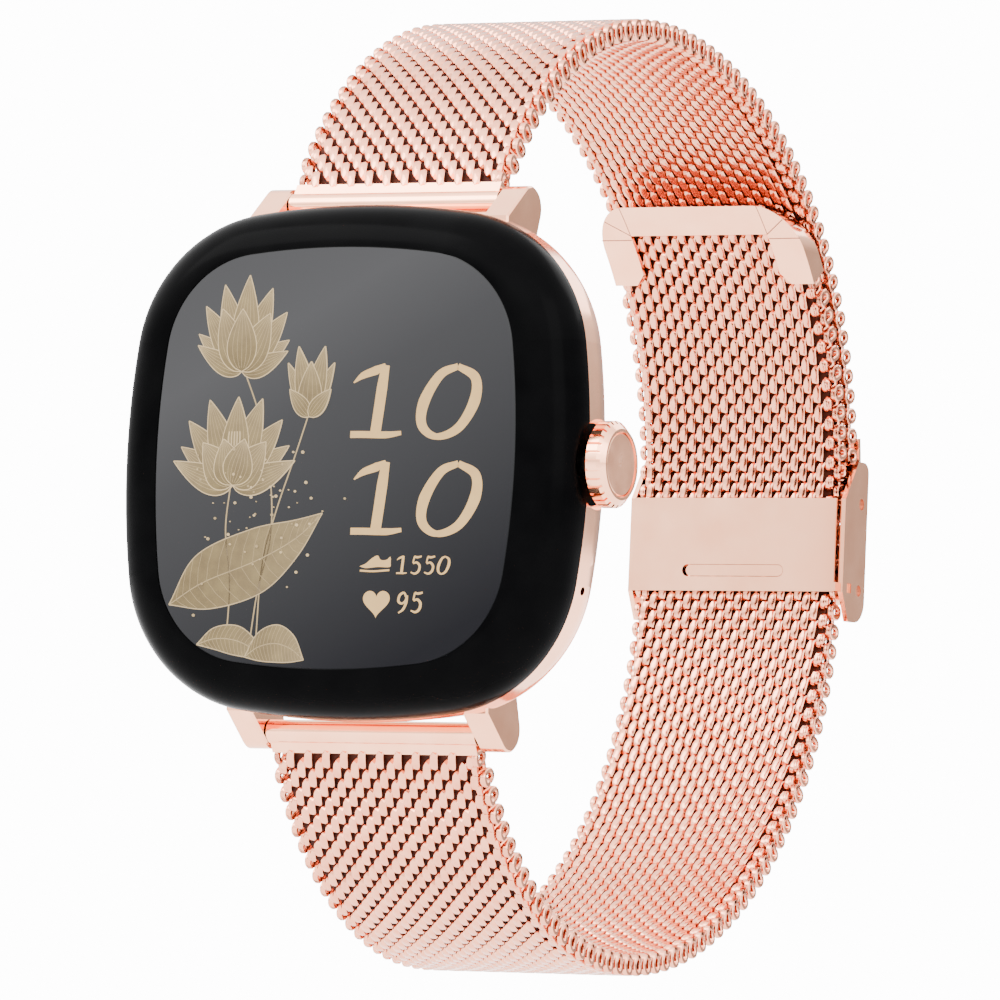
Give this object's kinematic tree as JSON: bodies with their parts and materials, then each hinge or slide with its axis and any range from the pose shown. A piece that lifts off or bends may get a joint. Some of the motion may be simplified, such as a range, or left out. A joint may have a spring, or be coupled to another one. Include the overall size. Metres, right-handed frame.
{
  "type": "smartwatch",
  "caption": "Square smartwatch with a glossy black bezel, turning crown, lugs on sprung bars and a woven-mesh band closed by a hook-and-lever clasp.",
  "frame": {"origin": "middle of the flat sensor window on the back, where the watch rests on the wrist", "axes": "+X towards the crown, +Y from the dial towards the wrist, +Z towards twelve o'clock"},
  "size_m": [0.0449, 0.0813, 0.0824],
  "materials": {
    "rose_gold": "mirror-polished rose-gold plating on steel",
    "rose_mesh": "woven, polished rose-gold wire",
    "black_gloss": "polished black",
    "cover_glass": "clear, dark display behind",
    "display": "lit panel",
    "black_plastic": "fine texture",
    "grey_plastic": "fine texture",
    "board_green": "solder mask",
    "steel": "fine turned",
    "battery_foil": "foil pouch",
    "gold_contact": "gold flash",
    "seal_rubber": "soft",
    "ribbon": "polyimide film",
    "sensor_black": "tinted window"
  },
  "bodies": {
    "case": {"mid_frame": "rose_gold", "bezel_ring": "black_gloss", "display_glass": "cover_glass", "glass_tape": "seal_rubber", "display_panel": "display", "inner_chassis": "steel", "battery": "battery_foil", "main_board": "board_green", "shield_can": "steel", "memory_chips": "black_plastic", "vibration_motor": "steel", "display_ribbon": "ribbon", "speaker": "grey_plastic", "microphone": "steel", "sensor_board": "board_green", "sensor_leds": "grey_plastic", "back_cover": "black_plastic", "back_gasket": "seal_rubber", "back_screws": "steel", "sensor_window": "sensor_black", "charging_contacts": "gold_contact", "crown_tube": "black_gloss", "crown_switch": "grey_plastic", "crown_bracket": "steel", "encoder_sensor": "black_plastic", "spring_bar_barrels": "steel"},
    "crown_carrier": {"thrust_washer": "black_plastic"},
    "crown": {"crown_cap": "rose_gold", "crown_inlay": "rose_gold", "crown_stem": "steel", "crown_seals": "seal_rubber", "encoder_wheel": "grey_plastic", "crown_clip": "steel"},
    "upper_strand": {"upper_end_tube": "rose_gold", "upper_mesh_root": "rose_mesh"},
    "upper_free_end": {"upper_mesh_end": "rose_mesh", "band_hook": "rose_gold"},
    "lower_strand": {"lower_end_tube": "rose_gold", "lower_mesh_root": "rose_mesh"},
    "lower_free_end": {"lower_mesh_end": "rose_mesh", "end_trim": "rose_gold", "clasp_cheeks": "rose_gold", "clasp_plate": "rose_gold", "clasp_pins": "rose_gold"},
    "lever": {"lock_lever": "rose_gold"},
    "upper_plunger_left": {"upper_plunger_left": "steel"},
    "upper_plunger_right": {"upper_plunger_right": "steel"},
    "lower_plunger_left": {"lower_plunger_left": "steel"},
    "lower_plunger_right": {"lower_plunger_right": "steel"}
  },
  "joints": [
    {"name": "crown_press", "type": "slide", "parent": "case", "child": "crown_carrier", "axis": [-1, 0, 0], "range_m": [0, 0.0004], "stiffness_N_per_m": 600},
    {"name": "crown_turn", "type": "hinge", "parent": "crown_carrier", "child": "crown", "pos_m": [0.022, -0.0052, 0], "axis": [1, 0, 0], "continuous": true},
    {"name": "upper_band_flex", "type": "hinge", "parent": "upper_strand", "child": "upper_free_end", "pos_m": [0, 0.05495, 0.03084], "axis": [1, 0, 0], "range_deg": [0, 35]},
    {"name": "upper_bar_pivot", "type": "hinge", "parent": "case", "child": "upper_strand", "pos_m": [0, -0.0023, 0.0222], "axis": [1, 0, 0], "range_deg": [0, 4]},
    {"name": "lower_band_flex", "type": "hinge", "parent": "lower_strand", "child": "lower_free_end", "pos_m": [0, 0.05216, -0.03123], "axis": [1, 0, 0], "range_deg": [0, 25]},
    {"name": "lower_bar_pivot", "type": "hinge", "parent": "case", "child": "lower_strand", "pos_m": [0, -0.0023, -0.0222], "axis": [1, 0, 0], "range_deg": [-5.5, 0]},
    {"name": "lever_open", "type": "hinge", "parent": "lower_free_end", "child": "lever", "pos_m": [0, 0.0684, -0.0047], "axis": [-1, 0, 0], "range_deg": [0, 75]},
    {"name": "upper_plunger_left_slide", "type": "slide", "parent": "case", "child": "upper_plunger_left", "axis": [1, 0, 0], "range_m": [0, 0.001], "stiffness_N_per_m": 400},
    {"name": "upper_plunger_right_slide", "type": "slide", "parent": "case", "child": "upper_plunger_right", "axis": [-1, 0, 0], "range_m": [0, 0.001], "stiffness_N_per_m": 400},
    {"name": "lower_plunger_left_slide", "type": "slide", "parent": "case", "child": "lower_plunger_left", "axis": [1, 0, 0], "range_m": [0, 0.001], "stiffness_N_per_m": 400},
    {"name": "lower_plunger_right_slide", "type": "slide", "parent": "case", "child": "lower_plunger_right", "axis": [-1, 0, 0], "range_m": [0, 0.001], "stiffness_N_per_m": 400}
  ],
  "couplings": [
    {"joint": "upper_bar_pivot", "follows": "upper_band_flex", "ratio": 0.1},
    {"joint": "lower_bar_pivot", "follows": "lower_band_flex", "ratio": -0.2}
  ]
}
